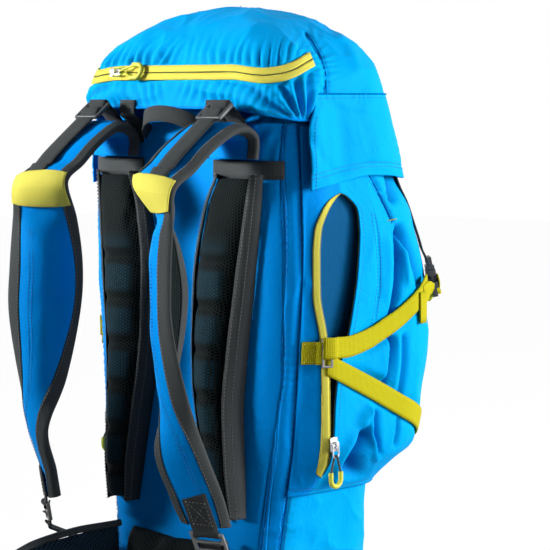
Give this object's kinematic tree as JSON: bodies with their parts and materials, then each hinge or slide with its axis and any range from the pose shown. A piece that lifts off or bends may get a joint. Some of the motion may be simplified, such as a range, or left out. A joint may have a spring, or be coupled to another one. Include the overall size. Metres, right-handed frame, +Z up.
{
  "type": "hiking backpack",
  "caption": "Tall hiking backpack with domed hood lid, padded mesh harness, hip belt, zipped wrap-around front pocket and V-shaped side compression straps.",
  "frame": {"origin": "on the flat underside of the base panel, below the middle of the bag", "axes": "+Z up, -Y towards the wearer (harness side), +Y towards the front pocket, +X the wearer's left"},
  "size_m": [0.3384, 0.4658, 0.6195],
  "materials": {
    "shell_fabric": "coated woven nylon, slight sheen",
    "lining_fabric": "thin woven lining",
    "frame_plastic": "moulded sheet",
    "stay_aluminium": "mill finish",
    "mesh_fabric": "open spacer mesh over foam",
    "grey_webbing": "woven webbing",
    "lime_webbing": "ribbed woven webbing",
    "buckle_plastic": "moulded, satin",
    "zip_tape": "zip tape with coil teeth",
    "zip_metal": "plated",
    "pull_grip": "moulded grip on cord"
  },
  "bodies": {
    "pack": {"base_panel": "shell_fabric", "back_panel": "shell_fabric", "side_wall_left": "shell_fabric", "side_wall_right": "shell_fabric", "front_wall": "shell_fabric", "collar": "lining_fabric", "cord_eyelet": "buckle_plastic", "frame_sheet": "frame_plastic", "frame_stays": "stay_aluminium", "frame_sleeve": "lining_fabric", "back_pad_left": "mesh_fabric", "back_pad_right": "mesh_fabric", "pad_strips": "grey_webbing", "shoulder_strap_left": "shell_fabric", "shoulder_strap_right": "shell_fabric", "strap_bands": "lime_webbing", "lifter_webbing_left": "grey_webbing", "lifter_webbing_right": "grey_webbing", "lifter_buckle_left": "buckle_plastic", "lifter_buckle_right": "buckle_plastic", "lifter_anchors": "grey_webbing", "strap_tabs": "grey_webbing", "strap_buckle_left": "buckle_plastic", "strap_buckle_right": "buckle_plastic", "strap_webbings": "grey_webbing", "lumbar_pad": "mesh_fabric", "pocket_side_left": "shell_fabric", "pocket_side_right": "shell_fabric", "pocket_front": "shell_fabric", "pocket_zip_left": "zip_tape", "pocket_zip_right": "zip_tape", "side_strap_left": "lime_webbing", "side_strap_right": "lime_webbing", "side_tabs": "lime_webbing", "side_rings": "zip_metal", "front_webbings": "grey_webbing", "buckle_socket_left": "buckle_plastic", "buckle_socket_right": "buckle_plastic", "lid_tabs": "grey_webbing"},
    "lid": {"lid_dome": "shell_fabric", "lid_floor": "shell_fabric", "lid_skirt": "shell_fabric", "lid_zip": "zip_tape"},
    "lid_slider": {"lid_slider": "zip_metal"},
    "lid_pull": {"lid_pull": "pull_grip"},
    "pocket_slider_left": {"pocket_slider_left": "zip_metal"},
    "pocket_slider_right": {"pocket_slider_right": "zip_metal"},
    "pocket_pull_left": {"pocket_bail_left": "zip_metal", "pocket_pull_left": "pull_grip"},
    "pocket_pull_right": {"pocket_bail_right": "zip_metal", "pocket_pull_right": "pull_grip"},
    "plug_left": {"buckle_plug_left": "buckle_plastic"},
    "plug_right": {"buckle_plug_right": "buckle_plastic"},
    "wing_left": {"hip_wing_left": "mesh_fabric", "hip_webbing_left": "grey_webbing", "hip_buckle_female": "buckle_plastic"},
    "wing_right": {"hip_wing_right": "mesh_fabric", "hip_webbing_right": "grey_webbing", "hip_buckle_male": "buckle_plastic"},
    "haul_loop": {"haul_loop": "grey_webbing"}
  },
  "joints": [
    {"name": "lid_hinge", "type": "hinge", "parent": "pack", "child": "lid", "pos_m": [0, -0.086, 0.53], "axis": [1, 0, 0], "range_deg": [0, 80]},
    {"name": "lid_zip_slide", "type": "slide", "parent": "lid", "child": "lid_slider", "axis": [1, 0, 0], "range_m": [0, 0.168]},
    {"name": "lid_pull_swing", "type": "hinge", "parent": "lid_slider", "child": "lid_pull", "pos_m": [-0.084, -0.08649, 0.55574], "axis": [0, -0.3168, -0.9485], "range_deg": [0, 150]},
    {"name": "pocket_zip_slide_left", "type": "slide", "parent": "pack", "child": "pocket_slider_left", "axis": [0, 0.03, 0.9996], "range_m": [0, 0.05]},
    {"name": "pocket_pull_swing_left", "type": "hinge", "parent": "pocket_slider_left", "child": "pocket_pull_left", "pos_m": [0.16594, -0.02372, 0.192], "axis": [0, -1, 0], "range_deg": [0, 150]},
    {"name": "buckle_release_left", "type": "slide", "parent": "pack", "child": "plug_left", "axis": [-0.1349, -0.1349, 0.9816], "range_m": [0, 0.03]},
    {"name": "hip_wing_swing_left", "type": "hinge", "parent": "pack", "child": "wing_left", "pos_m": [0.076, -0.0823, 0.057], "axis": [0, 0, -1], "range_deg": [0, 14]},
    {"name": "pocket_zip_slide_right", "type": "slide", "parent": "pack", "child": "pocket_slider_right", "axis": [0, 0.03, 0.9996], "range_m": [0, 0.05]},
    {"name": "pocket_pull_swing_right", "type": "hinge", "parent": "pocket_slider_right", "child": "pocket_pull_right", "pos_m": [-0.16594, -0.02372, 0.192], "axis": [0, 1, 0], "range_deg": [0, 150]},
    {"name": "buckle_release_right", "type": "slide", "parent": "pack", "child": "plug_right", "axis": [0.1349, -0.1349, 0.9816], "range_m": [0, 0.03]},
    {"name": "hip_wing_swing_right", "type": "hinge", "parent": "pack", "child": "wing_right", "pos_m": [-0.076, -0.0823, 0.057], "axis": [0, 0, 1], "range_deg": [0, 14]},
    {"name": "haul_loop_swing", "type": "hinge", "parent": "pack", "child": "haul_loop", "pos_m": [0, -0.0765, 0.486], "axis": [1, 0, 0], "range_deg": [0, 60]}
  ]
}
